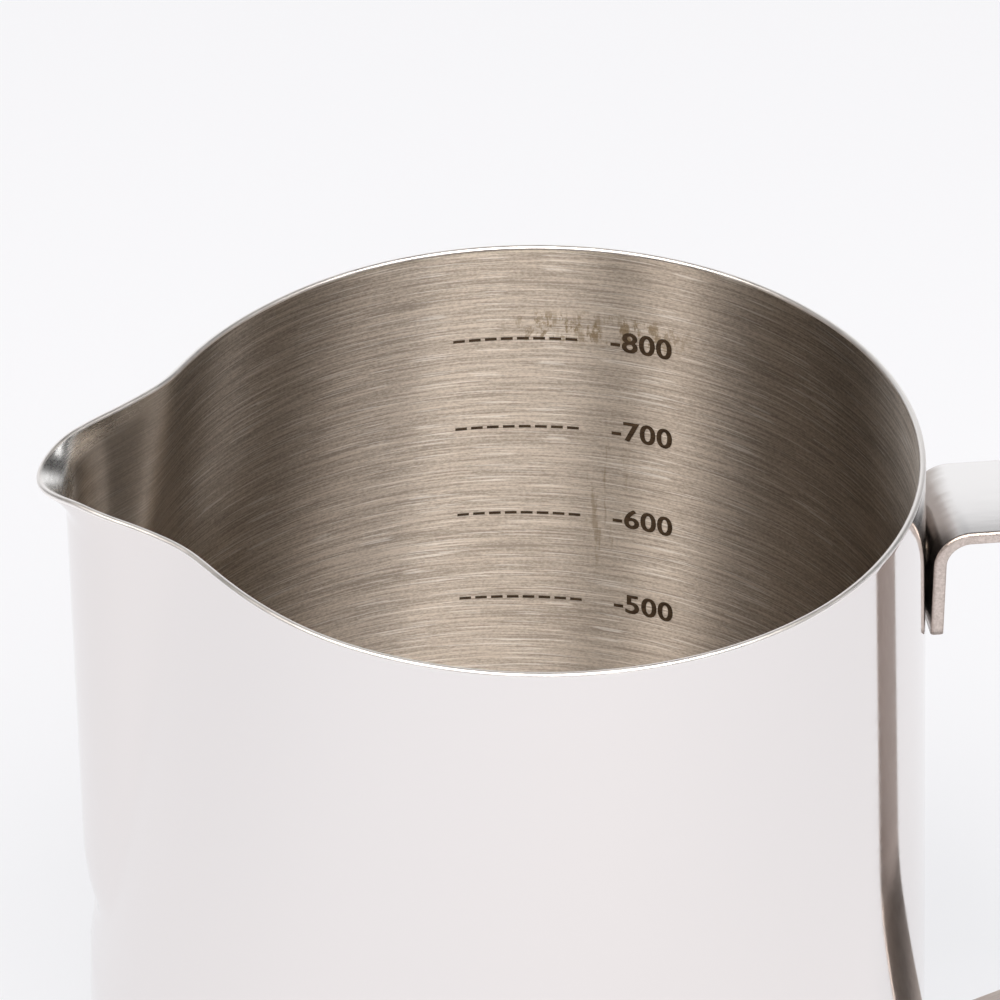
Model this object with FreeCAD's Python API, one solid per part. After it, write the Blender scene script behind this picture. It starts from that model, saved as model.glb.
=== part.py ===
import FreeCAD, Part
import math
import os

# A stainless steel milk-frothing jug: one drawn cup with a pressed spout, and one bent strip
# of the same steel as its handle, spot-welded to the cup at both ends.
# Units are millimetres. Z is up, +X runs to the handle and -X to the spout, and the origin is
# the centre of the flat underside.

# Cup
BODY_HEIGHT = 116.0
RIM_RADIUS = 48.8          # outside of the mouth, on the handle side
TAPER = 0.0393             # growth of the radius for each millimetre below the rim
WALL = 0.8                 # sheet thickness, the same in wall, spout and floor
BASE_CORNER = 6.0          # outside radius between wall and underside

# Side walls drawn in towards the spout; the pull fades out with depth
PINCH = 7.0                # greatest pull at the rim
PINCH_START = 40.0         # degrees from the handle at which it begins
FORMED_DEPTH = 70.0        # below this depth the cup is a plain cone

# Spout: a vertical V with a rounded keel
KEEL_OVERHANG = 3.0        # outside of the keel, beyond the radius of the mouth
SPOUT_HALF_ANGLE = 39.0    # degrees between the keel plane and either side of the V
KEEL_RADIUS = 15.5         # rounding of the V along the keel
KEEL_STRAIGHT = 52.0       # depth at which the keel starts to run back into the cone
KEEL_RUN_OUT = 33.0        # radius of that run-out
SPOUT_BLEND = 2.1          # softness of the valley between V and side wall
SPOUT_RISE = 1.15          # the rim stands this much higher along the sides of the spout
RISE_START = 60.0          # degrees from the keel at which the rim begins to rise
RISE_FULL = 14.0           # degrees from the keel at which it is fully up

# Lip: the tip of the spout flares outwards and droops to cut the stream
LIP_REACH = 3.5
LIP_HEIGHT = 5.5
LIP_HALF_WIDTH = 17.5      # degrees to either side of the keel
LIP_SHARPNESS = 2.7        # power that draws the flare to a point
LIP_DROOP = 1.5
LIP_DROOP_HALF_WIDTH = 9.6

# Handle strip
STRAP_WIDTH = 16.0
STRAP_THICKNESS = 1.6
STRAP_EDGE = 0.45          # broken long edges
ARM_DROP = 11.2            # from the rim to the top of the upper arm
UPPER_TAB_LENGTH = 14.0    # from the top of the upper arm to the end of its tab
LOWER_TAB_HEIGHT = 7.4     # from the underside to the end of the lower tab
GRIP_TOP_OVERHANG = 46.0   # middle of the strip at the upper outer corner, beyond the mouth
GRIP_FOOT_OVERHANG = 39.4  # the same at the lower outer corner
GRIP_FOOT_HEIGHT = 32.0    # middle of the strip at that corner, above the underside
LOWER_ARM_HEIGHT = 19.0    # middle of the strip where the lower arm meets its tab
TAB_BEND = 3.7             # bend radii along the middle of the strip
GRIP_TOP_BEND = 11.0
GRIP_FOOT_BEND = 10.0
TAB_CLEARANCE = 0.06       # between the nearest point of a tab and the wall

# Spot welds: two at each end of the strip, at the quarter points of the flat tab
WELD_SHARE = 0.21          # radius of a spot as a share of the flat


def cone_radius(depth):
    """Outside radius of the plain cup at a depth below the rim."""
    return RIM_RADIUS + TAPER * depth


def side_wall(psi, depth):
    """Outside radius of the cup at psi degrees from the keel, with the sides drawn in."""
    from_handle = 180.0 - abs(psi)
    t = max(0.0, (from_handle - PINCH_START) / (180.0 - PINCH_START))
    spread = t * t * (3.0 - 2.0 * t)
    fade = max(0.0, 1.0 - depth / FORMED_DEPTH)
    return cone_radius(depth) - PINCH * spread * fade


def spout_wall(psi, depth):
    """Outside radius of the V-shaped spout, level once past the middle of each side."""
    beta = math.radians(SPOUT_HALF_ANGLE)
    angle = min(math.radians(abs(psi)), math.pi / 2.0 - beta)
    run_out = max(0.0, depth - KEEL_STRAIGHT)
    keel = RIM_RADIUS + KEEL_OVERHANG - run_out ** 2 / (2.0 * KEEL_RUN_OUT)
    centre = keel - KEEL_RADIUS
    apex = centre + KEEL_RADIUS / math.sin(beta)
    tangent = math.atan2(KEEL_RADIUS * math.cos(beta), centre + KEEL_RADIUS * math.sin(beta))
    if angle < tangent:
        side = centre * math.sin(angle)
        return centre * math.cos(angle) + math.sqrt(KEEL_RADIUS ** 2 - side ** 2)
    return apex * math.sin(beta) / math.sin(beta + angle)


def lip_flare(psi, depth):
    """Outward flare of the rim around the spout."""
    if abs(psi) >= LIP_HALF_WIDTH or depth >= LIP_HEIGHT:
        return 0.0
    across = math.cos(math.radians(90.0 * psi / LIP_HALF_WIDTH)) ** LIP_SHARPNESS
    return LIP_REACH * across * (1.0 - depth / LIP_HEIGHT) ** 2


def outside(psi, depth):
    """Outside radius of the formed cup."""
    body = side_wall(psi, depth)
    spout = spout_wall(psi, depth)
    if depth >= FORMED_DEPTH:
        return body
    gap = body - spout
    blend = SPOUT_BLEND * (1.0 - depth / FORMED_DEPTH)
    blended = 0.5 * (body + spout + math.sqrt(gap * gap + blend * blend))
    return blended + lip_flare(psi, depth)


def lift(psi, depth):
    """Height gained by the rising spout and lost again by the drooping lip."""
    t = min(1.0, max(0.0, (RISE_START - abs(psi)) / (RISE_START - RISE_FULL)))
    rise = SPOUT_RISE * t * t * (3.0 - 2.0 * t) * max(0.0, 1.0 - depth / FORMED_DEPTH)
    across = max(0.0, 1.0 - (psi / LIP_DROOP_HALF_WIDTH) ** 2)
    return rise - LIP_DROOP * across ** 2 * max(0.0, 1.0 - depth / LIP_HEIGHT) ** 2


def outer_point(psi, depth):
    """Point of the outside at psi degrees from the keel, nominally depth below the rim."""
    r = outside(psi, depth)
    a = math.radians(psi + 180.0)
    return FreeCAD.Vector(r * math.cos(a), r * math.sin(a), BODY_HEIGHT - depth + lift(psi, depth))


def outer_axes(psi, depth):
    """Outward normal there, and the direction in the surface that points at the rim."""
    step = 0.05
    around = outer_point(psi + step, depth) - outer_point(psi - step, depth)
    rising = outer_point(psi, depth - step) - outer_point(psi, depth + step)
    normal = around.cross(rising).normalize()
    return normal, normal.cross(around).normalize()


def inner_point(psi, depth):
    """The matching point on the other side of the sheet."""
    return outer_point(psi, depth) - outer_axes(psi, depth)[0] * WALL


def bead_point(psi, turn):
    """Point of the half-round rim edge, turned through 0 to 180 degrees from the outside."""
    radius = WALL / 2.0
    normal, rising = outer_axes(psi, radius)
    a = math.radians(turn)
    middle = outer_point(psi, radius) - normal * radius
    return middle + normal * (radius * math.cos(a)) + rising * (radius * math.sin(a))


# Directions at which a section is set out, closer together across the spout
FINE = [2.0 * i for i in range(-21, 22)]
COARSE = [42.0 + 6.0 * i for i in range(1, 46)]
DIRECTIONS = sorted(FINE + COARSE, key=lambda psi: (psi + 180.0) % 360.0)


def section(point_at):
    """Closed smooth curve through one point for each direction."""
    stations = [(psi + 180.0) % 360.0 for psi in DIRECTIONS]
    points = [point_at(turned - 180.0) for turned in stations]
    stations.append(stations[0] + 360.0)
    curve = Part.BSplineCurve()
    curve.interpolate(Points=points, PeriodicFlag=True, Parameters=stations)
    return curve


def skin(curves, stations):
    """Smooth face through closed curves, which stand at the given stations."""
    columns = []
    for poles in zip(*[curve.getPoles() for curve in curves]):
        column = Part.BSplineCurve()
        column.interpolate(Points=list(poles), Parameters=stations)
        columns.append(column)
    around = curves[0]
    along = columns[0]
    surface = Part.BSplineSurface()
    surface.buildFromPolesMultsKnots(
        [column.getPoles() for column in columns],
        around.getMultiplicities(), along.getMultiplicities(),
        around.getKnots(), along.getKnots(),
        True, False, around.Degree, along.Degree)
    return surface.toShape()


DEPTHS = [90.0, 82.0, 76.0, 72.0, 68.0, 65.0, 62.0, 59.0, 56.0, 52.0, 46.0, 38.0, 30.0, 22.0, 15.0,
          10.0, 7.5, 6.2, 5.2, 4.2, 3.2, 2.2, 1.2]


def ring(radius, height):
    """Plain round section."""
    return section(lambda psi: FreeCAD.Vector(
        -radius * math.cos(math.radians(psi)), -radius * math.sin(math.radians(psi)), height))


def cup_skin(point_at, offset):
    """Faces of one side of the sheet, from the rim edge down to the flat floor."""
    depths = DEPTHS + [WALL / 2.0]
    formed = [section(lambda psi: point_at(psi, d)) for d in depths]
    lean = math.atan(TAPER)
    centre = cone_radius(BODY_HEIGHT - BASE_CORNER) - BASE_CORNER / math.cos(lean)
    r = BASE_CORNER - offset
    turns = [lean - (lean + math.pi / 2.0) * i / 8.0 for i in range(9)]
    corner = [ring(centre + r * math.cos(a), BASE_CORNER + r * math.sin(a)) for a in turns]
    floor = Part.Face(Part.Wire(corner[-1].toShape()))
    return [
        skin(formed, [-d for d in depths]),
        skin([formed[0], corner[0]], [0.0, 1.0]),
        skin(corner, [-a for a in turns]),
        floor,
    ]


def rim_bead():
    """Half-round edge that joins the inside and the outside at the rim."""
    turns = [30.0 * i for i in range(7)]
    return skin([section(lambda psi: bead_point(psi, turn)) for turn in turns], turns)


def make_jug_body():
    """The whole cup as one closed skin: outside, rim bead and inside."""
    faces = cup_skin(outer_point, 0.0) + [rim_bead()] + cup_skin(inner_point, WALL)
    sewn = Part.makeCompound(faces)
    sewn.sewShape(0.001)
    solid = Part.Solid(sewn.Shells[0])
    if solid.Volume < 0:
        solid.reverse()
    return solid


def strip_outline(points, bends, thickness):
    """Closed outline of a bent strip whose middle follows straight runs and round bends."""
    half = thickness / 2.0
    runs = [(b - a).normalize() for a, b in zip(points, points[1:])]
    normals = [FreeCAD.Vector(-run.z, 0, run.x) for run in runs]
    sides = []
    for side in (half, -half):
        edges = []
        start = points[0] + normals[0] * side
        for i, bend in enumerate(bends):
            before, after = runs[i], runs[i + 1]
            turn = before.getAngle(after)
            reach = bend * math.tan(turn / 2.0)
            enter = points[i + 1] - before * reach
            leave = points[i + 1] + after * reach
            towards = (after - before).normalize()
            centre = points[i + 1] + towards * (bend / math.cos(turn / 2.0))
            inner = normals[i].dot(towards) * side > 0
            middle = centre - towards * (bend - half if inner else bend + half)
            edges.append(Part.makeLine(start, enter + normals[i] * side))
            start = leave + normals[i + 1] * side
            edges.append(Part.Arc(enter + normals[i] * side, middle, start).toShape())
        end = points[-1] + normals[-1] * side
        edges.append(Part.makeLine(start, end))
        sides.append((edges, points[0] + normals[0] * side, end))
    (left, left_start, left_end), (right, right_start, right_end) = sides
    caps = [Part.makeLine(left_start, right_start), Part.makeLine(left_end, right_end)]
    return Part.Wire(Part.__sortEdges__(left + right + caps))


def strap_middle():
    """Corners of the strip's middle line, from the end of the upper tab to the end of the lower."""
    half = STRAP_THICKNESS / 2.0
    upper_end = BODY_HEIGHT - ARM_DROP - UPPER_TAB_LENGTH
    upper = cone_radius(BODY_HEIGHT - upper_end) + TAB_CLEARANCE + half
    lower = cone_radius(BODY_HEIGHT - LOWER_TAB_HEIGHT) + TAB_CLEARANCE + half
    arm = BODY_HEIGHT - ARM_DROP - half
    corners = [
        (upper, upper_end),
        (upper, arm),
        (RIM_RADIUS + GRIP_TOP_OVERHANG, arm),
        (RIM_RADIUS + GRIP_FOOT_OVERHANG, GRIP_FOOT_HEIGHT),
        (lower, LOWER_ARM_HEIGHT),
        (lower, LOWER_TAB_HEIGHT),
    ]
    return [FreeCAD.Vector(x, 0, z) for x, z in corners]


def make_handle_strap():
    """One strip: upper tab, arm, grip, lower arm and lower tab."""
    aside = FreeCAD.Vector(0, STRAP_WIDTH, 0)
    points = [corner - aside * 0.5 for corner in strap_middle()]
    bends = [TAB_BEND, GRIP_TOP_BEND, GRIP_FOOT_BEND, TAB_BEND]
    strap = Part.Face(strip_outline(points, bends, STRAP_THICKNESS)).extrude(aside)
    sides = [f for f in strap.Faces if abs(f.normalAt(0, 0).y) > 0.99]
    long_edges = [edge for face in sides for edge in face.Edges]
    return strap.makeFillet(STRAP_EDGE, long_edges)


def make_welds(end, corner, following, body_solid):
    """Fused spots that fill the gap between the wall and one tab of the strip."""
    along = corner - end
    turn = along.getAngle(following - corner)
    flat = along.Length - TAB_BEND * math.tan(turn / 2.0)
    face = end.x - STRAP_THICKNESS / 2.0
    spots = []
    for share in (0.25, 0.75):
        z = end.z + math.copysign(flat * share, along.z)
        start = cone_radius(BODY_HEIGHT - z) - WALL / 2.0
        column = Part.makeCylinder(
            WELD_SHARE * flat, face - start,
            FreeCAD.Vector(start, 0, z), FreeCAD.Vector(1, 0, 0))
        spots.append(column.cut(body_solid))
    return Part.makeCompound(spots)


def main():
    body = make_jug_body()
    corners = strap_middle()
    nodes = {
        "jug_body": body,
        "handle_strap": make_handle_strap(),
        "weld_spots_upper": make_welds(*corners[:3], body),
        "weld_spots_lower": make_welds(*corners[:-4:-1], body),
    }
    os.makedirs("parts", exist_ok=True)
    for name, shape in nodes.items():
        shape.exportStep("parts/" + name + ".step")


main()
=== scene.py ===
import math
import bpy
from mathutils import Matrix, Vector


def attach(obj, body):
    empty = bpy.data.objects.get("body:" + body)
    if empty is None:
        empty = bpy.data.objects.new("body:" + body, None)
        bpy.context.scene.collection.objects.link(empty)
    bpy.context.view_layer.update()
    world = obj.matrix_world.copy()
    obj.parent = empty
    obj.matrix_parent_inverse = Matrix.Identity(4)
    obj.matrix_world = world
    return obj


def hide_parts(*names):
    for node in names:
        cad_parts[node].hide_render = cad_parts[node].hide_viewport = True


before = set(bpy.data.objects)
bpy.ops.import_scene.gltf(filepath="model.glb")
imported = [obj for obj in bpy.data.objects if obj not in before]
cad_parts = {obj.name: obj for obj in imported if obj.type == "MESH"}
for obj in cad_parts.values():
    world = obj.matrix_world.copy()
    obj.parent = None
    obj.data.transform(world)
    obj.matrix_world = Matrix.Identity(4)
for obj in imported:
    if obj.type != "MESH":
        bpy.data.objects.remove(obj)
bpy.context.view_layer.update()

# Lengths below are in millimetres in the frame of the CAD part and become metres in each mesh.
MM = 0.001

# The cup, as in the CAD part
BODY_HEIGHT = 116.0
RIM_RADIUS = 48.8
TAPER = 0.0393
WALL = 0.8
BASE_CORNER = 6.0
PINCH = 7.0
PINCH_START = 40.0
FORMED_DEPTH = 70.0
KEEL_OVERHANG = 3.0
SPOUT_HALF_ANGLE = 39.0
KEEL_RADIUS = 15.5
KEEL_STRAIGHT = 52.0
KEEL_RUN_OUT = 33.0
SPOUT_BLEND = 2.1
SPOUT_RISE = 1.15
RISE_START = 60.0
RISE_FULL = 14.0
LIP_REACH = 3.5
LIP_HEIGHT = 5.5
LIP_HALF_WIDTH = 17.5
LIP_SHARPNESS = 2.7
LIP_DROOP = 1.5
LIP_DROOP_HALF_WIDTH = 9.6

# The handle strip, as in the CAD part
STRAP_WIDTH = 16.0
STRAP_THICKNESS = 1.6
STRAP_EDGE = 0.45
ARM_DROP = 11.2
UPPER_TAB_LENGTH = 14.0
LOWER_TAB_HEIGHT = 7.4
GRIP_TOP_OVERHANG = 46.0
GRIP_FOOT_OVERHANG = 39.4
GRIP_FOOT_HEIGHT = 32.0
LOWER_ARM_HEIGHT = 19.0
TAB_BEND = 3.7
GRIP_TOP_BEND = 11.0
GRIP_FOOT_BEND = 10.0
TAB_CLEARANCE = 0.06


# The shape functions take psi, the direction in degrees from the keel of the spout, and the depth
# below the rim.
def cone_radius(depth):
    return RIM_RADIUS + TAPER * depth


def side_wall(psi, depth):
    t = max(0.0, (180.0 - abs(psi) - PINCH_START) / (180.0 - PINCH_START))
    spread = t * t * (3.0 - 2.0 * t)
    return cone_radius(depth) - PINCH * spread * max(0.0, 1.0 - depth / FORMED_DEPTH)


def spout_wall(psi, depth):
    beta = math.radians(SPOUT_HALF_ANGLE)
    angle = min(math.radians(abs(psi)), math.pi / 2.0 - beta)
    run_out = max(0.0, depth - KEEL_STRAIGHT)
    keel = RIM_RADIUS + KEEL_OVERHANG - run_out ** 2 / (2.0 * KEEL_RUN_OUT)
    centre = keel - KEEL_RADIUS
    apex = centre + KEEL_RADIUS / math.sin(beta)
    tangent = math.atan2(KEEL_RADIUS * math.cos(beta), centre + KEEL_RADIUS * math.sin(beta))
    if angle < tangent:
        side = centre * math.sin(angle)
        return centre * math.cos(angle) + math.sqrt(KEEL_RADIUS ** 2 - side ** 2)
    return apex * math.sin(beta) / math.sin(beta + angle)


def outside(psi, depth):
    """Outer radius: side wall and spout blended, with the flare of the lip."""
    body = side_wall(psi, depth)
    if depth >= FORMED_DEPTH:
        return body
    spout = spout_wall(psi, depth)
    gap = body - spout
    blend = SPOUT_BLEND * (1.0 - depth / FORMED_DEPTH)
    r = 0.5 * (body + spout + math.sqrt(gap * gap + blend * blend))
    if abs(psi) < LIP_HALF_WIDTH and depth < LIP_HEIGHT:
        across = math.cos(math.radians(90.0 * psi / LIP_HALF_WIDTH)) ** LIP_SHARPNESS
        r += LIP_REACH * across * (1.0 - depth / LIP_HEIGHT) ** 2
    return r


def lift(psi, depth):
    """Height gained along the sides of the spout, less the droop of its tip."""
    t = min(1.0, max(0.0, (RISE_START - abs(psi)) / (RISE_START - RISE_FULL)))
    rise = SPOUT_RISE * t * t * (3.0 - 2.0 * t) * max(0.0, 1.0 - depth / FORMED_DEPTH)
    across = max(0.0, 1.0 - (psi / LIP_DROOP_HALF_WIDTH) ** 2)
    return rise - LIP_DROOP * across ** 2 * max(0.0, 1.0 - depth / LIP_HEIGHT) ** 2


def outer_point(psi, depth):
    r = outside(psi, depth)
    a = math.radians(psi + 180.0)
    return Vector((r * math.cos(a), r * math.sin(a), BODY_HEIGHT - depth + lift(psi, depth)))


def outer_axes(psi, depth):
    """Outward normal there, and the direction in the surface that points at the rim."""
    step = 0.05
    around = outer_point(psi + step, depth) - outer_point(psi - step, depth)
    rising = outer_point(psi, depth - step) - outer_point(psi, depth + step)
    normal = around.cross(rising).normalized()
    return normal, normal.cross(around).normalized()


def inner_point(psi, depth, off=0.0):
    """Point on the inner face, or off it towards the middle of the cup."""
    return outer_point(psi, depth) - outer_axes(psi, depth)[0] * (WALL + off)


def bead_point(psi, turn):
    """Point on the half-round edge of the sheet; turn goes from outside to inside."""
    radius = WALL / 2.0
    normal, rising = outer_axes(psi, radius)
    middle = outer_point(psi, radius) - normal * radius
    return middle + normal * (radius * math.cos(turn)) + rising * (radius * math.sin(turn))


def mesh_object(name, verts, faces, materials, slots=None, smooth=True):
    """Object from points in millimetres, with one material slot number for each face."""
    mesh = bpy.data.meshes.new(name)
    mesh.from_pydata([(x * MM, y * MM, z * MM) for x, y, z in verts], [], faces)
    for material in materials:
        mesh.materials.append(material)
    if slots:
        mesh.polygons.foreach_set("material_index", slots)
    mesh.polygons.foreach_set("use_smooth", [smooth] * len(mesh.polygons))
    mesh.update()
    obj = bpy.data.objects.new(name, mesh)
    bpy.context.scene.collection.objects.link(obj)
    return obj


# ---------------------------------------------------------------- materials
# Places of finishes, tones, stains and painted shade on the pieces, in metres in the frame of the part
TIP = (-0.0545, 0.0, 0.1158)
TIP_FULL = 0.0055             # the lip is polished this far from its tip
TIP_END = 0.0085
SPOUT_TONE_FULL = -0.0392     # the inside is toned lighter beyond this x, to match the photo
SPOUT_TONE_END = -0.0372
STRIP_SHADE_FULL = 0.0520      # painted brown-grey shade on the strip up to this x, to match the photo
STRIP_SHADE_END = 0.0546
LIP_EDGE_X = (-0.048, -0.040)
LIP_EDGE_Y = (-0.001, 0.002)
LIP_EDGE_Z = (0.1136, 0.1156)
STAIN_TOP_X = (0.007, 0.026, 0.004)       # from, to and softness
STAIN_TOP_Z = (0.1020, 0.1062, 0.0012)
STAIN_LOW_X = (0.0155, 0.0205, 0.002)
STAIN_LOW_Z = (0.068, 0.090, 0.006)


class Graph:
    """Short way to build a material's node tree."""

    def __init__(self, name):
        self.material = bpy.data.materials.new(name)
        self.material.use_nodes = True
        self.tree = self.material.node_tree
        self.tree.nodes.clear()
        self.output = self.node("ShaderNodeOutputMaterial")
        self.bsdf = self.node("ShaderNodeBsdfPrincipled")
        self.link(self.bsdf.outputs[0], self.output.inputs[0])
        self.coords = self.node("ShaderNodeTexCoord").outputs["Object"]

    def node(self, kind, **settings):
        made = self.tree.nodes.new(kind)
        for key, value in settings.items():
            setattr(made, key, value)
        return made

    def link(self, a, b):
        self.tree.links.new(a, b)

    def put(self, socket, value):
        """Link the value if it is a socket, or else set it."""
        if hasattr(value, "is_output"):
            self.link(value, socket)
        else:
            socket.default_value = value

    def math(self, operation, a, b=0.0, c=0.0):
        made = self.node("ShaderNodeMath", operation=operation)
        for socket, value in zip(made.inputs, (a, b, c)):
            self.put(socket, value)
        return made.outputs[0]

    def vector(self, operation, a, b):
        made = self.node("ShaderNodeVectorMath", operation=operation)
        self.put(made.inputs[0], a)
        self.put(made.inputs[1], b)
        return made.outputs[0]

    def parts(self):
        """The x, y and z of a point on the piece, in metres."""
        split = self.node("ShaderNodeSeparateXYZ")
        self.link(self.coords, split.inputs[0])
        return split.outputs

    def noise(self, scale_xyz, detail=2.0, roughness=0.5, shift=(0, 0, 0), lean=0.0):
        """Noise with the given features per metre along x, y and z; lean makes it climb around z."""
        at = self.coords
        if lean:
            x, y, z = self.parts()
            around = self.math("ARCTAN2", y, x)
            join = self.node("ShaderNodeCombineXYZ")
            self.link(x, join.inputs[0])
            self.link(y, join.inputs[1])
            self.link(self.math("MULTIPLY_ADD", around, lean * RIM_RADIUS * MM, z), join.inputs[2])
            at = join.outputs[0]
        at = self.vector("MULTIPLY", at, scale_xyz)
        at = self.vector("ADD", at, shift)
        made = self.node("ShaderNodeTexNoise")
        made.inputs["Scale"].default_value = 1.0
        made.inputs["Detail"].default_value = detail
        made.inputs["Roughness"].default_value = roughness
        self.link(at, made.inputs["Vector"])
        return made.outputs["Fac"]

    def rings(self, per_metre):
        """Wave along the distance from the z axis, in radians per metre."""
        x, y, _ = self.parts()
        squares = self.math("ADD", self.math("POWER", x, 2.0), self.math("POWER", y, 2.0))
        return self.math("SINE", self.math("MULTIPLY", self.math("SQRT", squares), per_metre))

    def window(self, value, low, high, soft):
        """One between low and high, fading to zero over soft on either side."""
        rising = self.remap(value, low - soft, low + soft, 0.0, 1.0, True)
        falling = self.remap(value, high - soft, high + soft, 1.0, 0.0, True)
        return self.math("MULTIPLY", rising, falling)

    def remap(self, value, low, high, to_low, to_high, smooth=False):
        """Stretch low..high of the value to to_low..to_high, held at both ends."""
        made = self.node("ShaderNodeMapRange")
        made.interpolation_type = "SMOOTHSTEP" if smooth else "LINEAR"
        for socket, v in zip(made.inputs, (value, low, high, to_low, to_high)):
            self.put(socket, v)
        return made.outputs[0]

    def mix(self, factor, a, b):
        made = self.node("ShaderNodeMix", data_type="RGBA")
        self.put(made.inputs[0], factor)
        self.put(made.inputs[6], a)
        self.put(made.inputs[7], b)
        return made.outputs[2]

    def bump(self, height, strength, distance, shader=None):
        made = self.node("ShaderNodeBump")
        made.inputs["Strength"].default_value = strength
        made.inputs["Distance"].default_value = distance
        self.link(height, made.inputs["Height"])
        self.link(made.outputs[0], (shader or self.bsdf).inputs["Normal"])

    def metal(self, colour, roughness):
        """Finish the main shader as a metal and give back the material."""
        self.bsdf.inputs["Metallic"].default_value = 1.0
        self.put(self.bsdf.inputs["Base Color"], colour)
        self.put(self.bsdf.inputs["Roughness"], roughness)
        return self.material


def polished_steel():
    """Mirror finish of the outside, with faint polishing waves."""
    g = Graph("polished_steel")
    waves = g.noise((18.0, 18.0, 9.0), detail=1.0)
    wipes = g.noise((60.0, 60.0, 900.0), detail=3.0, shift=(3.1, 0.7, 5.2))
    tint = g.mix(waves, (0.775, 0.755, 0.755, 1), (0.815, 0.775, 0.76, 1))
    rough = g.remap(wipes, 0.3, 0.7, 0.05, 0.10)
    g.bump(waves, 0.10, 0.0006)
    return g.metal(tint, rough)


def rim_steel():
    """Buffed edge of the mouth."""
    g = Graph("rim_steel")
    grain = g.noise((400.0, 400.0, 400.0), detail=2.0)
    tint = g.mix(grain, (0.88, 0.85, 0.83, 1), (0.96, 0.94, 0.92, 1))
    g.bump(grain, 0.05, 0.0001)
    return g.metal(tint, g.remap(grain, 0.3, 0.7, 0.36, 0.44))


def underside_steel():
    """Underside, which the photo does not show: fine rings and some wear."""
    g = Graph("underside_steel")
    rings = g.rings(9000.0)
    wear = g.noise((90.0, 90.0, 90.0), detail=4.0)
    tint = g.mix(wear, (0.62, 0.60, 0.58, 1), (0.80, 0.785, 0.77, 1))
    g.bump(g.math("MULTIPLY_ADD", rings, 0.3, wear), 0.25, 0.0001)
    return g.metal(tint, g.remap(wear, 0.3, 0.7, 0.18, 0.32))


def inside_base_steel():
    """Inner face of the base, which the photo does not show: satin, with fine rings."""
    g = Graph("inside_base_steel")
    rings = g.rings(14000.0)
    cloud = g.noise((70.0, 70.0, 70.0), detail=4.0, shift=(6.0, 1.0, 3.0))
    grain = g.noise((1400.0, 1400.0, 1400.0), detail=2.0)
    tint = g.mix(cloud, (0.44, 0.385, 0.335, 1), (0.58, 0.515, 0.455, 1))
    g.bump(g.math("MULTIPLY_ADD", rings, 0.3, grain), 0.3, 0.0001)
    return g.metal(tint, g.remap(cloud, 0.3, 0.7, 0.34, 0.44))


def brushed_inside():
    """Steel brushed around the inside, with crossing scratches, stains and a polished lip tip."""
    g = Graph("brushed_inside")
    x, y, z = g.parts()
    fine = g.noise((75.0, 75.0, 4200.0), detail=2.0, roughness=0.7, lean=0.006)
    cross = g.noise((95.0, 95.0, 3800.0), detail=2.0, roughness=0.6, shift=(4.0, 9.0, 1.0), lean=-0.05)
    third = g.noise((95.0, 95.0, 3800.0), detail=2.0, roughness=0.6, shift=(1.0, 5.0, 6.0), lean=0.045)
    lone = g.noise((130.0, 130.0, 5000.0), detail=0.0, shift=(8.0, 2.0, 3.0), lean=-0.02)
    grit = g.noise((2200.0, 2200.0, 4200.0), detail=1.0, roughness=0.6)
    cloud = g.noise((30.0, 30.0, 22.0), detail=3.0, shift=(1.0, 6.0, 2.0))
    brush = g.math("MULTIPLY", fine, 0.42)
    brush = g.math("MULTIPLY_ADD", cross, 0.2, brush)
    brush = g.math("MULTIPLY_ADD", third, 0.15, brush)
    brush = g.math("MULTIPLY_ADD", grit, 0.23, brush)
    tint = g.mix(g.remap(brush, 0.42, 0.58, 0.0, 1.0), (0.37, 0.323, 0.28, 1), (0.67, 0.60, 0.53, 1))
    tint = g.mix(g.remap(cloud, 0.35, 0.7, 0.0, 0.14), tint, (0.35, 0.305, 0.265, 1))
    tint = g.mix(g.remap(lone, 0.67, 0.71, 0.0, 0.42), tint, (0.95, 0.93, 0.90, 1))
    # a tone fitted to the photo: the walls of the spout look lighter there than the round wall
    spout_tone = g.remap(x, SPOUT_TONE_FULL, SPOUT_TONE_END, 0.40, 0.0)
    tint = g.mix(spout_tone, tint, (0.80, 0.71, 0.62, 1))
    # brown stains: specks and drips above the top mark, drips between the marks below it
    speck = g.noise((820.0, 820.0, 420.0), detail=4.0, roughness=0.7, shift=(5.0, 1.0, 4.0))
    drip = g.noise((900.0, 900.0, 120.0), detail=3.0, roughness=0.6, shift=(2.0, 8.0, 4.0))
    far_side = g.math("GREATER_THAN", y, 0.0)
    top = g.math("MULTIPLY", g.window(x, *STAIN_TOP_X), g.window(z, *STAIN_TOP_Z))
    low = g.math("MULTIPLY", g.window(x, *STAIN_LOW_X), g.window(z, *STAIN_LOW_Z))
    specks = g.math("MULTIPLY", top, g.remap(speck, 0.50, 0.60, 0.0, 0.75))
    drips = g.math("MULTIPLY", g.math("MAXIMUM", low, top), g.remap(drip, 0.54, 0.66, 0.0, 0.45))
    stain = g.math("MULTIPLY", g.math("MAXIMUM", specks, drips), far_side)
    tint = g.mix(stain, tint, (0.22, 0.155, 0.075, 1))
    rough = g.math("MULTIPLY_ADD", stain, 0.15, g.remap(brush, 0.38, 0.62, 0.53, 0.49))
    g.bump(brush, 0.15, 0.00012)
    tangent = g.node("ShaderNodeTangent", direction_type="RADIAL", axis="Z")
    g.link(tangent.outputs[0], g.bsdf.inputs["Tangent"])
    g.bsdf.inputs["Anisotropic"].default_value = 1.0
    g.bsdf.inputs["Anisotropic Rotation"].default_value = 0.25
    g.metal(tint, rough)
    add_polished_lip(g, brush)
    return g.material


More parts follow.
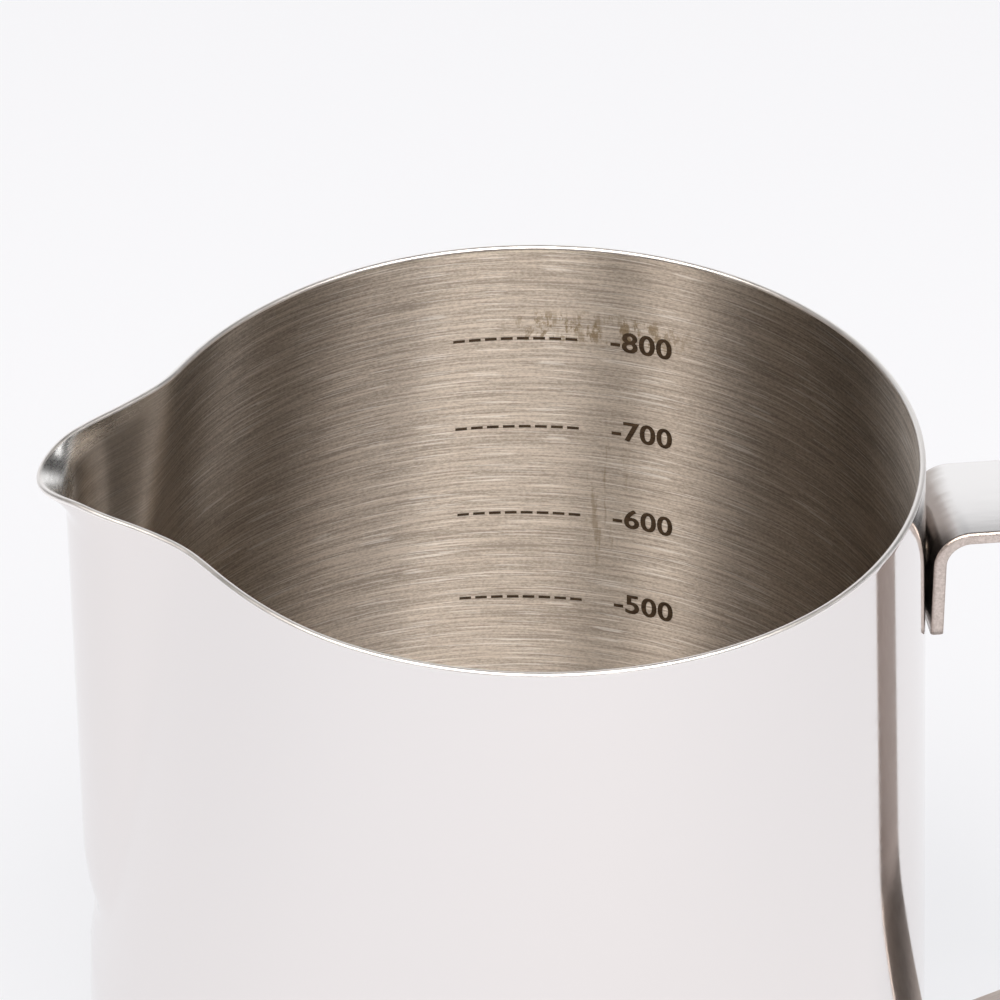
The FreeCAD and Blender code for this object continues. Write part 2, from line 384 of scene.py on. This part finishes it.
def add_polished_lip(g, brush):
    """Lay a polished shader over the tip of the lip and along its far edge."""
    x, y, z = g.parts()
    tip = g.vector("SUBTRACT", g.coords, TIP)
    length = g.node("ShaderNodeVectorMath", operation="LENGTH")
    g.link(tip, length.inputs[0])
    ragged = g.math("MULTIPLY_ADD", brush, 0.002, length.outputs["Value"])
    polished = g.node("ShaderNodeBsdfPrincipled")
    polished.inputs["Metallic"].default_value = 1.0
    g.link(g.mix(brush, (0.80, 0.79, 0.77, 1), (0.93, 0.92, 0.90, 1)), polished.inputs["Base Color"])
    g.link(g.remap(brush, 0.4, 0.6, 0.32, 0.22), polished.inputs["Roughness"])
    g.bump(brush, 0.08, 0.0001, polished)
    both = g.node("ShaderNodeMixShader")
    near_tip = g.remap(ragged, TIP_FULL, TIP_END, 1.0, 0.0, True)
    edge = g.math("MULTIPLY", g.remap(z, *LIP_EDGE_Z, 0.0, 1.0), g.remap(x, *LIP_EDGE_X, 1.0, 0.0))
    edge = g.math("MULTIPLY", edge, g.remap(y, *LIP_EDGE_Y, 0.0, 1.0))
    g.link(g.math("MAXIMUM", near_tip, edge), both.inputs[0])
    g.link(g.bsdf.outputs[0], both.inputs[1])
    g.link(polished.outputs[0], both.inputs[2])
    g.link(both.outputs[0], g.output.inputs[0])


def strap_face_steel():
    """Polished faces of the handle strip, with painted shade next to the cup."""
    g = Graph("strap_face_steel")
    grain = g.noise((120.0, 900.0, 120.0), detail=3.0)
    x = g.parts()[0]
    tint = g.mix(grain, (0.84, 0.825, 0.82, 1), (0.90, 0.885, 0.88, 1))
    # painted shade fitted to the photo: the strip is painted brown-grey next to the cup, where it lies
    # in shade
    ragged = g.math("MULTIPLY_ADD", grain, 0.0015, x)
    strip_shade = g.remap(ragged, STRIP_SHADE_FULL, STRIP_SHADE_END, 0.95, 0.0, True)
    tint = g.mix(strip_shade, tint, (0.42, 0.375, 0.345, 1))
    g.bump(grain, 0.05, 0.0001)
    return g.metal(tint, g.remap(grain, 0.3, 0.7, 0.16, 0.24))


def strap_inner_steel():
    """Satin face of the strip on the side of the cup; its darker brown colour is painted shade."""
    g = Graph("strap_inner_steel")
    grain = g.noise((500.0, 2600.0, 500.0), detail=4.0, roughness=0.65)
    cloud = g.noise((60.0, 60.0, 60.0), detail=2.0, shift=(3.0, 3.0, 1.0))
    # painted shade: this face, which looks towards the cup, is coloured darker and browner than the
    # outer faces
    tint = g.mix(g.remap(grain, 0.35, 0.65, 0.0, 1.0), (0.47, 0.40, 0.365, 1), (0.60, 0.53, 0.485, 1))
    tint = g.mix(g.remap(cloud, 0.4, 0.7, 0.0, 0.2), tint, (0.42, 0.37, 0.34, 1))
    g.bump(grain, 0.2, 0.0001)
    return g.metal(tint, g.remap(grain, 0.3, 0.7, 0.30, 0.40))


def strap_edge_steel():
    """Satin cut edge of the strip."""
    g = Graph("strap_edge_steel")
    grain = g.noise((2600.0, 900.0, 2600.0), detail=3.0, roughness=0.7)
    wear = g.noise((180.0, 180.0, 180.0), detail=2.0, shift=(2.0, 2.0, 7.0))
    tint = g.mix(g.remap(grain, 0.35, 0.65, 0.0, 1.0), (0.50, 0.43, 0.39, 1), (0.72, 0.64, 0.60, 1))
    tint = g.mix(g.remap(wear, 0.4, 0.7, 0.0, 0.25), tint, (0.42, 0.36, 0.32, 1))
    g.bump(grain, 0.25, 0.00008)
    return g.metal(tint, g.remap(grain, 0.3, 0.7, 0.34, 0.5))


def weld_steel():
    """Matt metal of the spot welds, which the photo does not show."""
    g = Graph("weld_steel")
    grain = g.noise((1600.0, 1600.0, 1600.0), detail=4.0, roughness=0.7)
    tint = g.mix(grain, (0.30, 0.25, 0.21, 1), (0.58, 0.53, 0.48, 1))
    g.bump(grain, 0.4, 0.0001)
    return g.metal(tint, g.remap(grain, 0.3, 0.7, 0.4, 0.6))


def etched_mark():
    """Dark brown scale marks, a little uneven."""
    g = Graph("etched_mark")
    grain = g.noise((900.0, 900.0, 4000.0), detail=4.0, roughness=0.7)
    tint = g.mix(g.remap(grain, 0.35, 0.7, 0.0, 1.0), (0.030, 0.018, 0.010, 1), (0.085, 0.055, 0.032, 1))
    g.put(g.bsdf.inputs["Base Color"], tint)
    g.put(g.bsdf.inputs["Roughness"], g.remap(grain, 0.3, 0.7, 0.5, 0.7))
    g.bsdf.inputs["Specular IOR Level"].default_value = 0.3
    return g.material


POLISHED = polished_steel()
RIM = rim_steel()
UNDERSIDE = underside_steel()
INSIDE_BASE = inside_base_steel()
BRUSHED = brushed_inside()
STRAP_FACE = strap_face_steel()
STRAP_SIDE = strap_edge_steel()
STRAP_INNER_SHADED = strap_inner_steel()
WELD = weld_steel()
MARK = etched_mark()


# ---------------------------------------------------------------- cup
TURNS = 640
CUP_MATERIALS = [POLISHED, RIM, BRUSHED, UNDERSIDE, INSIDE_BASE]
OUTSIDE, EDGE, INSIDE, UNDER, BASE = range(len(CUP_MATERIALS))
FINE_DEPTH = 12.0          # rows are closer together above this depth
BASE_ROWS = 14
CORNER_ROWS = 14
CONE_ROWS = 16
FORMED_ROWS = 48
LIP_ROWS = 36
BEAD_ROWS = 10
CENTRE_RADIUS = 1.0        # the rows of the base stop here and a fan closes it
EVEN_PART = 0.62           # how columns are spread: evenly, and by the cube of their place
CUBED_PART = 0.38


def spaced(start, end, count):
    """The ends of count even steps from start to end."""
    return [start + (end - start) * i / count for i in range(count + 1)]


def bearing(i):
    """Direction of column i in degrees from the keel; columns crowd around the spout."""
    share = 2.0 * i / TURNS - 1.0
    return 180.0 * (EVEN_PART * share + CUBED_PART * share * share * share)


def build_cup():
    """One closed mesh: underside, outside, rim bead, inside and inner base."""
    lean = math.atan(TAPER)
    centre = cone_radius(BODY_HEIGHT - BASE_CORNER) - BASE_CORNER / math.cos(lean)
    corner_top = BASE_CORNER * (1.0 + math.sin(lean))
    depths = spaced(BODY_HEIGHT - corner_top, FORMED_DEPTH, CONE_ROWS)
    depths += spaced(FORMED_DEPTH, FINE_DEPTH, FORMED_ROWS)[1:]
    depths += spaced(FINE_DEPTH, WALL / 2.0, LIP_ROWS)[1:]
    bearings = [bearing(i) for i in range(TURNS)]
    rows = []

    def plain(radius, z, slot):
        around = [math.radians(psi) for psi in bearings]
        rows.append(([(-radius * math.cos(a), -radius * math.sin(a), z) for a in around], slot))

    def corner(offset, slot, turns):
        r = BASE_CORNER - offset
        for a in turns:
            plain(centre + r * math.cos(a), BASE_CORNER + r * math.sin(a), slot)

    for radius in spaced(CENTRE_RADIUS, centre, BASE_ROWS):
        plain(radius, 0.0, UNDER)
    corner(0.0, OUTSIDE, spaced(-math.pi / 2.0, lean, CORNER_ROWS)[1:-1])
    for depth in depths:
        rows.append(([outer_point(psi, depth) for psi in bearings], OUTSIDE))
    for turn in spaced(0.0, math.pi, BEAD_ROWS)[1:-1]:
        rows.append(([bead_point(psi, turn) for psi in bearings], EDGE))
    for depth in reversed(depths):
        rows.append(([inner_point(psi, depth) for psi in bearings], INSIDE))
    corner(WALL, BASE, spaced(lean, -math.pi / 2.0, CORNER_ROWS)[1:])
    for radius in spaced(centre, CENTRE_RADIUS, BASE_ROWS)[1:]:
        plain(radius, WALL, BASE)

    verts = [tuple(point) for ring, _ in rows for point in ring]
    faces = []
    slots = []
    for j in range(len(rows) - 1):
        slot = EDGE if rows[j][1] == EDGE else rows[j + 1][1]
        for i in range(TURNS):
            k = (i + 1) % TURNS
            faces.append((j * TURNS + i, j * TURNS + k, (j + 1) * TURNS + k, (j + 1) * TURNS + i))
            slots.append(slot)
    under = len(verts)
    verts.append((0.0, 0.0, 0.0))
    above = len(verts)
    verts.append((0.0, 0.0, WALL))
    last = (len(rows) - 1) * TURNS
    for i in range(TURNS):
        k = (i + 1) % TURNS
        faces.append((under, k, i))
        slots.append(UNDER)
        faces.append((above, last + i, last + k))
        slots.append(BASE)
    cup = mesh_object("cup", verts, faces, CUP_MATERIALS, slots)
    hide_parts("jug_body")
    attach(cup, "root")


# ---------------------------------------------------------------- handle
STRAP_MATERIALS = [STRAP_FACE, STRAP_SIDE, STRAP_INNER_SHADED]
FACE, CUT, INNER = range(len(STRAP_MATERIALS))
RUN_ROWS = 10
BEND_ROWS = 24
EDGE_ROWS = 5
CUT_REACH = 0.7            # the cut edge takes this share of the rounding


def strap_path():
    """Points and face normals along the middle of the strip, from the upper tab down."""
    half = STRAP_THICKNESS / 2.0
    upper_end = BODY_HEIGHT - ARM_DROP - UPPER_TAB_LENGTH
    upper = cone_radius(ARM_DROP + UPPER_TAB_LENGTH) + TAB_CLEARANCE + half
    lower = cone_radius(BODY_HEIGHT - LOWER_TAB_HEIGHT) + TAB_CLEARANCE + half
    arm = BODY_HEIGHT - ARM_DROP - half
    corners = [
        Vector((upper, upper_end)),
        Vector((upper, arm)),
        Vector((RIM_RADIUS + GRIP_TOP_OVERHANG, arm)),
        Vector((RIM_RADIUS + GRIP_FOOT_OVERHANG, GRIP_FOOT_HEIGHT)),
        Vector((lower, LOWER_ARM_HEIGHT)),
        Vector((lower, LOWER_TAB_HEIGHT)),
    ]
    bends = [TAB_BEND, GRIP_TOP_BEND, GRIP_FOOT_BEND, TAB_BEND]
    path = [(corners[0], (corners[1] - corners[0]).normalized())]
    for i, bend in enumerate(bends):
        before = (corners[i + 1] - corners[i]).normalized()
        after = (corners[i + 2] - corners[i + 1]).normalized()
        turn = before.angle(after)
        reach = bend * math.tan(turn / 2.0)
        enter = corners[i + 1] - before * reach
        side = 1.0 if before.x * after.y - before.y * after.x > 0 else -1.0
        normal = Vector((-before.y, before.x)) * side
        centre = enter + normal * bend
        start = path[-1][0]
        for share in spaced(0.0, 1.0, RUN_ROWS)[1:]:
            path.append((start.lerp(enter, share), before))
        for share in spaced(0.0, 1.0, BEND_ROWS)[1:]:
            a = turn * share * side
            spin = Matrix.Rotation(a, 2)
            path.append((centre + spin @ (enter - centre), spin @ before))
    start = path[-1][0]
    run = (corners[-1] - start).normalized()
    for share in spaced(0.0, 1.0, RUN_ROWS)[1:]:
        path.append((start.lerp(corners[-1], share), run))
    return path


def strap_section():
    """Rounded outline of the strip: offsets along its thickness and its width."""
    half_t = STRAP_THICKNESS / 2.0
    half_w = STRAP_WIDTH / 2.0
    r = STRAP_EDGE
    outline = []
    for st, sw, first in ((1, 1, 0.0), (-1, 1, 90.0), (-1, -1, 180.0), (1, -1, 270.0)):
        for share in spaced(0.0, 1.0, EDGE_ROWS):
            a = math.radians(first + 90.0 * share)
            outline.append((st * (half_t - r) + r * math.cos(a), sw * (half_w - r) + r * math.sin(a)))
    return outline


def build_strap():
    """The section swept along the path, closed at both ends."""
    path = strap_path()
    outline = strap_section()
    n = len(outline)
    verts = []
    for point, run in path:
        for t, w in outline:
            verts.append((point.x - run.y * t, w, point.y + run.x * t))
    faces = []
    slots = []
    for j in range(len(path) - 1):
        for i in range(n):
            k = (i + 1) % n
            faces.append((j * n + i, j * n + k, (j + 1) * n + k, (j + 1) * n + i))
            middle = (abs(outline[i][1]) + abs(outline[k][1])) / 2.0
            if middle > STRAP_WIDTH / 2.0 - STRAP_EDGE * CUT_REACH:
                slots.append(CUT)
            else:
                slots.append(INNER if outline[i][0] + outline[k][0] < 0.0 else FACE)
    last = (len(path) - 1) * n
    faces.append(tuple(reversed(range(n))))
    faces.append(tuple(range(last, last + n)))
    slots += [CUT, CUT]
    strap = mesh_object("strap", verts, faces, STRAP_MATERIALS, slots)
    for end in (1, 2):
        strap.data.polygons[len(faces) - end].use_smooth = False
    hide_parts("handle_strap")
    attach(strap, "root")


# ---------------------------------------------------------------- scale
SCALE_TOP = 800            # millilitres at the top mark
SCALE_VOLUME = 100         # millilitres between marks
SCALE_MARKS = 7
SCALE_TOP_DROP = 13.67     # from the rim down to the top mark
SCALE_STEP = 13.54
SCALE_ANCHOR = 53.0        # the marks keep their length round the wall from this line
DASH_START = 91.48         # degrees from the handle
DASH_END = 72.54
DASHES = 8
DASH_SHARE = 0.74          # length of a stroke as a share of the pitch
DASH_THICK = 0.42
DASH_SPLITS = 4            # faces along a stroke, so that it follows the wall
NUMBER_START = 67.45
NUMBER_END = 58.05
NUMBER_RISE = 0.33         # the numbers sit a little above their dashes
NUMBER_BOLD = 0.07         # each number is struck twice, this far to either side
NUMBER_HEIGHT = 3.0
MARK_LIFT = 0.03           # the marks lie this far off the wall
LETTER_WEIGHT = 0.014      # outline grown by this share of the letter size
LETTER_SPACE = 1.06


def on_wall(azimuth, drop):
    """Point just off the inner wall; azimuth at the top mark, in degrees from the handle."""
    shrink = cone_radius(SCALE_TOP_DROP) / cone_radius(drop)
    turned = SCALE_ANCHOR + (azimuth - SCALE_ANCHOR) * shrink
    return tuple(inner_point(turned - 180.0, drop, MARK_LIFT))


def build_dashes(drop):
    """Broken line of short strokes at one level of the scale."""
    verts = []
    faces = []
    pitch = (DASH_START - DASH_END) / (DASHES - 1 + DASH_SHARE)
    for d in range(DASHES):
        start = DASH_START - d * pitch
        for share in spaced(0.0, 1.0, DASH_SPLITS):
            azimuth = start - pitch * DASH_SHARE * share
            verts.append(on_wall(azimuth, drop - DASH_THICK / 2.0))
            verts.append(on_wall(azimuth, drop + DASH_THICK / 2.0))
        base = len(verts) - 2 * (DASH_SPLITS + 1)
        for a in range(base, base + 2 * DASH_SPLITS, 2):
            faces.append((a, a + 1, a + 3, a + 2))
    return verts, faces


def number_mesh(text):
    """Flat mesh of a number, stretched to one unit each way from zero."""
    curve = bpy.data.curves.new("digits", "FONT")
    curve.body = text
    curve.size = 1.0
    curve.offset = LETTER_WEIGHT
    curve.space_character = LETTER_SPACE
    holder = bpy.data.objects.new("digits", curve)
    bpy.context.scene.collection.objects.link(holder)
    bpy.context.view_layer.update()
    mesh = holder.to_mesh()
    verts = [tuple(v.co) for v in mesh.vertices]
    faces = [tuple(p.vertices) for p in mesh.polygons]
    holder.to_mesh_clear()
    bpy.data.objects.remove(holder)
    low = min(v[1] for v in verts)
    high = max(v[1] for v in verts)
    left = min(v[0] for v in verts)
    right = max(v[0] for v in verts)
    return [((x - left) / (right - left), (y - low) / (high - low)) for x, y, _ in verts], faces


def build_scale():
    """A piece for each mark: its broken line and its number."""
    for step in range(SCALE_MARKS):
        value = SCALE_TOP - SCALE_VOLUME * step
        drop = SCALE_TOP_DROP + SCALE_STEP * step
        verts, faces = build_dashes(drop)
        flat, number_faces = number_mesh("-" + str(value))
        for struck in (-NUMBER_BOLD, NUMBER_BOLD):
            base = len(verts)
            for u, v in flat:
                azimuth = NUMBER_START + (NUMBER_END - NUMBER_START) * u + struck
                verts.append(on_wall(azimuth, drop - NUMBER_RISE + NUMBER_HEIGHT * (0.5 - v)))
            faces += [tuple(base + i for i in face) for face in number_faces]
        mark = mesh_object("scale_" + str(value), verts, faces, [MARK])
        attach(mark, "root")


build_cup()
build_strap()
build_scale()
for name in ("weld_spots_upper", "weld_spots_lower"):
    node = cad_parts[name]
    node.data.materials.clear()
    node.data.materials.append(WELD)


# ---------------------------------------------------------------- stage and light
SOFTBOX_AIM = Vector((0.0, 0.0, 0.1))     # metres, just below the middle of the mouth
SOFTBOX_DISTANCE = 1.6
FLOOR_REACH = 6000.0
FLOOR_DROP = 0.05          # keeps the floor clear of the underside


def build_floor():
    """Plain pale floor; a little of its own light keeps it even."""
    g = Graph("pale_floor")
    cloud = g.noise((1.5, 1.5, 1.5), detail=2.0)
    tint = g.mix(cloud, (0.21, 0.215, 0.23, 1), (0.23, 0.235, 0.25, 1))
    g.put(g.bsdf.inputs["Base Color"], tint)
    g.bsdf.inputs["Roughness"].default_value = 0.7
    g.bsdf.inputs["Specular IOR Level"].default_value = 0.2
    g.put(g.bsdf.inputs["Emission Color"], (0.97, 0.975, 1.0, 1))
    g.bsdf.inputs["Emission Strength"].default_value = 0.685
    corners = ((-1, -1), (1, -1), (1, 1), (-1, 1))
    verts = [(FLOOR_REACH * x, FLOOR_REACH * y, -FLOOR_DROP) for x, y in corners]
    floor = mesh_object("floor", verts, [(0, 1, 2, 3)], [g.material], smooth=False)


def build_world():
    """White sweep behind the jug and low around it; dark ceiling and dark sides above."""
    world = bpy.data.worlds.new("studio")
    bpy.context.scene.world = world
    world.use_nodes = True
    tree = world.node_tree
    background = tree.nodes["Background"]
    coords = tree.nodes.new("ShaderNodeTexCoord")
    split = tree.nodes.new("ShaderNodeSeparateXYZ")
    tree.links.new(coords.outputs["Generated"], split.inputs[0])

    def remap(value, low, high, to_low, to_high):
        made = tree.nodes.new("ShaderNodeMapRange")
        made.interpolation_type = "SMOOTHSTEP"
        tree.links.new(value, made.inputs[0])
        for socket, number in zip(list(made.inputs)[1:5], (low, high, to_low, to_high)):
            socket.default_value = number
        return made.outputs[0]

    def mix(factor, a, b):
        made = tree.nodes.new("ShaderNodeMix")
        made.data_type = "RGBA"
        tree.links.new(factor, made.inputs[0])
        for socket, value in ((made.inputs[6], a), (made.inputs[7], b)):
            if hasattr(value, "is_output"):
                tree.links.new(value, socket)
            else:
                socket.default_value = value
        return made.outputs[2]

    dark = (0.035, 0.035, 0.036, 1)
    sweep = mix(remap(split.outputs[2], 0.60, 0.80, 0.0, 1.0), (1.02, 1.02, 1.03, 1), dark)
    upper = mix(remap(split.outputs[1], 0.55, 0.80, 0.0, 1.0), dark, sweep)
    whole = mix(remap(split.outputs[2], 0.0, 0.10, 0.0, 1.0), (0.93, 0.935, 0.95, 1), upper)
    tree.links.new(whole, background.inputs["Color"])
    background.inputs["Strength"].default_value = 1.0


def softbox(name, azimuth, elevation, size, radiance, colour):
    """Flat lamp seen from the aim in the given direction, and turned to face it."""
    light = bpy.data.lights.new(name, "AREA")
    light.shape = "RECTANGLE"
    light.size, light.size_y = size
    light.energy = radiance * math.pi * size[0] * size[1]
    light.color = colour
    obj = bpy.data.objects.new(name, light)
    a = math.radians(azimuth)
    e = math.radians(elevation)
    away = Vector((math.cos(e) * math.cos(a), math.cos(e) * math.sin(a), math.sin(e)))
    obj.location = SOFTBOX_AIM + away * SOFTBOX_DISTANCE
    obj.rotation_euler = (-away).to_track_quat("-Z", "Y").to_euler()
    bpy.context.scene.collection.objects.link(obj)


build_floor()
build_world()
WARM = (1.0, 0.94, 0.875)
PALE = (1.0, 0.94, 0.885)
softbox("key", -91.0, 52.0, (1.10, 1.0), 7.5, WARM)
softbox("side", -147.5, 52.0, (0.40, 1.0), 9.6, (1.0, 0.93, 0.86))
softbox("tail", -167.0, 52.0, (0.45, 1.0), 1.3, PALE)
softbox("fill", -50.0, 50.0, (0.75, 1.0), 3.9, PALE)
softbox("spout", -20.0, 50.0, (0.46, 1.0), 0.9, PALE)
softbox("lip", 4.0, 23.0, (0.34, 0.34), 2.3, (1.0, 1.0, 1.0))

# ---------------------------------------------------------------- camera
CAMERA_DISTANCE = 657.6    # from the middle of the mouth
CAMERA_ELEVATION = 32.38
CAMERA_TURN = 7.0          # the view is turned this far towards the spout
CAMERA_YAW = 0.08
CAMERA_PITCH = -0.53
CAMERA_ROLL = -0.03
CAMERA_LENS = 202.1
CAMERA_SENSOR = 36.0
CAMERA_CLIP = (0.05, 30.0)     # metres


def build_camera():
    """Long lens, aimed close to the middle of the mouth."""
    up = math.radians(CAMERA_ELEVATION)
    aside = Matrix.Rotation(-math.radians(CAMERA_TURN), 3, "Z")
    place = aside @ Vector((0, -math.cos(up), math.sin(up))) * CAMERA_DISTANCE
    forward = aside @ Vector((0, math.cos(up), -math.sin(up)))
    right = aside @ Vector((1, 0, 0))
    above = right.cross(forward)
    spin = Matrix.Rotation(math.radians(CAMERA_YAW), 3, above)
    forward, right = spin @ forward, spin @ right
    spin = Matrix.Rotation(math.radians(CAMERA_PITCH), 3, right)
    forward, above = spin @ forward, spin @ above
    spin = Matrix.Rotation(math.radians(CAMERA_ROLL), 3, forward)
    right, above = spin @ right, spin @ above
    camera = bpy.data.cameras.new("camera")
    camera.lens = CAMERA_LENS
    camera.sensor_width = CAMERA_SENSOR
    camera.clip_start, camera.clip_end = CAMERA_CLIP
    obj = bpy.data.objects.new("camera", camera)
    turned = Matrix((right, above, -forward)).transposed().to_4x4()
    obj.matrix_world = Matrix.Translation((place + Vector((0, 0, BODY_HEIGHT))) * MM) @ turned
    bpy.context.scene.collection.objects.link(obj)
    bpy.context.scene.camera = obj


build_camera()
bpy.context.scene.view_settings.view_transform = "Standard"
